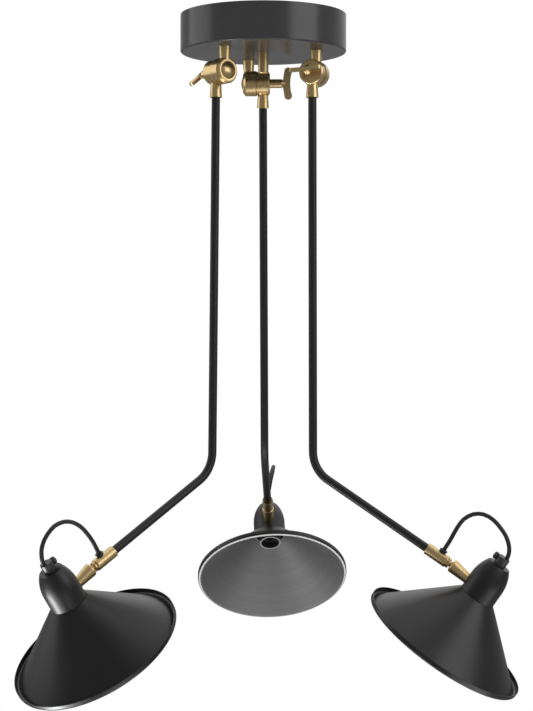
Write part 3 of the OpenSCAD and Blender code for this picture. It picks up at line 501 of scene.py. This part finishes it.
lead_flex = moulded_plastic("lead_black_flex", LEAD_BLACK, 0.45)
for side in SIDES:
    stops = [sleeve_point(side, BUSH_ALONG, away, 0)
             for away in (BUSH_INSIDE, BUSH_TOP, BUSH_TOP + LEAD_STRAIGHT)]
    stops += [sleeve_point(side, *place) for place in LEAD_LOOPS[side]]
    stops += [grip_point(side, GRIP_TOP), grip_point(side, GRIP_INSIDE)]
    route = smooth_route(stops)
    flex_mesh = tube_mesh(side + "_lead_flex", route, LEAD_DIAMETER / 2, LEAD_SIDES)
    lead = bpy.data.objects.new(side + "_lead_flex", flex_mesh)
    bpy.context.scene.collection.objects.link(lead)
    lead.data.materials.append(lead_flex)
    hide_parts(side + "_lead")
    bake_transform(lead)


# Studio
# A pale round floor well below the hanging lamp, a dim room whose wall above and behind the lamp is
# bright, and soft lamps at both sides and low in front, one of them gridded so that it lights the left
# head alone. The camera sees the room as plain white.
FLOOR_DROP = 2.6
FLOOR_RADIUS = 4.0
FLOOR_SIDES = 96
FLOOR_WHITE = (0.85, 0.85, 0.85, 1)
FLOOR_SHINE = 0.2
DIM_ROOM = 0.24
WALL_SHINE = 1.1
WALL_SIDE = (0.15, 0.48, 0.86)
WALL_START = 0.4
WALL_FULL = 0.9
ROOM_LIGHT = 0.5
FLOOR_GLOW_LEAST = 0.35
WHITE = (1, 1, 1, 1)

ring = [2 * math.pi * s / FLOOR_SIDES for s in range(FLOOR_SIDES)]
floor_mesh = bpy.data.meshes.new("floor")
rim = [(FLOOR_RADIUS * math.cos(a), FLOOR_RADIUS * math.sin(a), -FLOOR_DROP) for a in ring]
floor_mesh.from_pydata(rim, [], [range(FLOOR_SIDES)])
floor = bpy.data.objects.new("floor", floor_mesh)
bpy.context.scene.collection.objects.link(floor)


def floor_light(tree):
    """White for the camera, dim in mirrors and through glass, and nothing for other light."""
    path = add_node(tree, "ShaderNodeLightPath")
    total = path.outputs["Is Camera Ray"]
    for name in ("Is Glossy Ray", "Is Transmission Ray"):
        total = add_node(tree, "ShaderNodeMath", {"operation": "MULTIPLY_ADD"}, {
            0: path.outputs[name], 1: FLOOR_SHINE, 2: total}).outputs["Value"]
    return total


floor_pale = bpy.data.materials.new("floor_pale")
floor_pale.use_nodes = True
floor_tree = floor_pale.node_tree
floor_tree.nodes.clear()
floor_card = add_node(floor_tree, "ShaderNodeBsdfDiffuse", inputs={"Color": FLOOR_WHITE})
floor_glow = add_node(floor_tree, "ShaderNodeEmission", inputs={"Strength": floor_light(floor_tree)})
floor_place = add_node(floor_tree, "ShaderNodeVectorMath", {"operation": "LENGTH"}, {
    0: add_node(floor_tree, "ShaderNodeTexCoord").outputs["Object"]})
floor_edge = add_node(floor_tree, "ShaderNodeMapRange", {"interpolation_type": "SMOOTHSTEP"}, {
    "Value": floor_place.outputs["Value"], "From Min": FLOOR_DROP, "From Max": FLOOR_RADIUS,
    "To Min": FLOOR_GLOW_LEAST, "To Max": 1.0})
floor_mix = add_node(floor_tree, "ShaderNodeMixShader", inputs={
    0: floor_edge.outputs["Result"], 1: floor_card.outputs["BSDF"], 2: floor_glow.outputs["Emission"]})
add_node(floor_tree, "ShaderNodeOutputMaterial", inputs={"Surface": floor_mix.outputs["Shader"]})
floor_mesh.materials.append(floor_pale)

world = bpy.data.worlds.new("studio")
world.use_nodes = True
world_tree = world.node_tree
world_tree.nodes.clear()
towards_wall = add_node(world_tree, "ShaderNodeVectorMath", {"operation": "DOT_PRODUCT"}, {
    0: add_node(world_tree, "ShaderNodeTexCoord").outputs["Generated"], 1: WALL_SIDE})
mirrored = add_node(world_tree, "ShaderNodeMapRange", {"interpolation_type": "SMOOTHSTEP"}, {
    "Value": towards_wall.outputs["Value"], "From Min": WALL_START, "From Max": WALL_FULL,
    "To Min": DIM_ROOM, "To Max": WALL_SHINE})
path = add_node(world_tree, "ShaderNodeLightPath")
surround = add_node(world_tree, "ShaderNodeBackground", inputs={"Color": WHITE, "Strength": ROOM_LIGHT})
reflected = add_node(world_tree, "ShaderNodeBackground", inputs={
    "Color": WHITE, "Strength": mirrored.outputs["Result"]})
backdrop = add_node(world_tree, "ShaderNodeBackground", inputs={"Color": WHITE, "Strength": 1.0})
mirror_ray = add_node(world_tree, "ShaderNodeMath", {"operation": "MAXIMUM"}, {
    0: path.outputs["Is Glossy Ray"], 1: path.outputs["Is Transmission Ray"]})
glossy_mix = add_node(world_tree, "ShaderNodeMixShader", inputs={
    0: mirror_ray.outputs["Value"], 1: surround.outputs["Background"], 2: reflected.outputs["Background"]})
world_mix = add_node(world_tree, "ShaderNodeMixShader", inputs={
    0: path.outputs["Is Camera Ray"], 1: glossy_mix.outputs["Shader"], 2: backdrop.outputs["Background"]})
add_node(world_tree, "ShaderNodeOutputWorld", inputs={"Surface": world_mix.outputs["Shader"]})
bpy.context.scene.world = world
bpy.context.scene.view_settings.view_transform = "Standard"


def soft_lamp(name, place, aim, size, power, spread=180):
    """A square soft lamp that points at a place, with a grid that narrows its spread."""
    data = bpy.data.lights.new(name, "AREA")
    data.shape = "SQUARE"
    data.size = size
    data.energy = power
    data.spread = math.radians(spread)
    lamp = bpy.data.objects.new(name, data)
    lamp.location = place
    lamp.visible_camera = False
    lamp.rotation_euler = (Vector(aim) - Vector(place)).to_track_quat("-Z", "Y").to_euler()
    bpy.context.scene.collection.objects.link(lamp)


soft_lamp("lamp_right", (2.2, -1.4, 0.6), (0, 0, -0.5), 2.0, 20)
soft_lamp("lamp_left", (-2.4, 0.4, 0.4), (0, 0, -0.5), 2.0, 12)
soft_lamp("lamp_low_left", (-0.68, -0.35, -1.45), (-0.24, -0.2, -0.68), 0.8, 4.5)
soft_lamp("lamp_left_head", (-0.46, -0.17, -1.01), (-0.23, -0.18, -0.68), 0.3, 0.3, spread=32)
soft_lamp("lamp_low_right", (0.4, -0.4, -1.45), (0.25, -0.15, -0.68), 0.8, 4)
